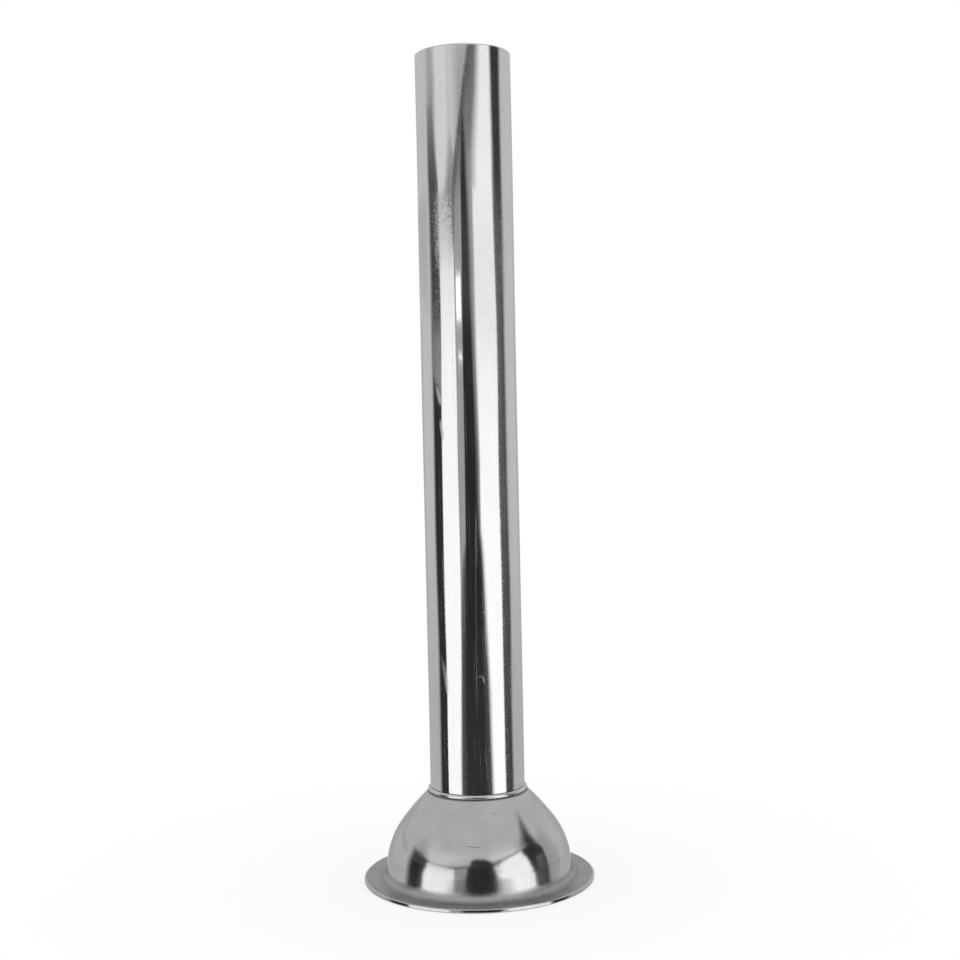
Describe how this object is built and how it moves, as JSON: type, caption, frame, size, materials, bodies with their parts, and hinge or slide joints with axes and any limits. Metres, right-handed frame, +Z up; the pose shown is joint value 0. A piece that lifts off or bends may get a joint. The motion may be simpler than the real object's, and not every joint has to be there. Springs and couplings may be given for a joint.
{
  "type": "sausage stuffing tube",
  "caption": "Sausage stuffing tube: a slim straight steel tube locked into the neck of a domed bell, which ends in a flat flange for clamping to a stuffer.",
  "frame": {"origin": "on the tube's axis, in the plane of the flange's underside", "axes": "+Z up the tube towards its open tip; X and Y lie in the flange's plane"},
  "size_m": [0.0536, 0.0534, 0.19],
  "materials": {
    "polished_steel": "mirror polished stainless steel with fine hairline scratches",
    "satin_steel": "spun stainless steel, satin polished"
  },
  "bodies": {
    "root": {"tube": "polished_steel", "bell": "satin_steel"}
  },
  "joints": []
}
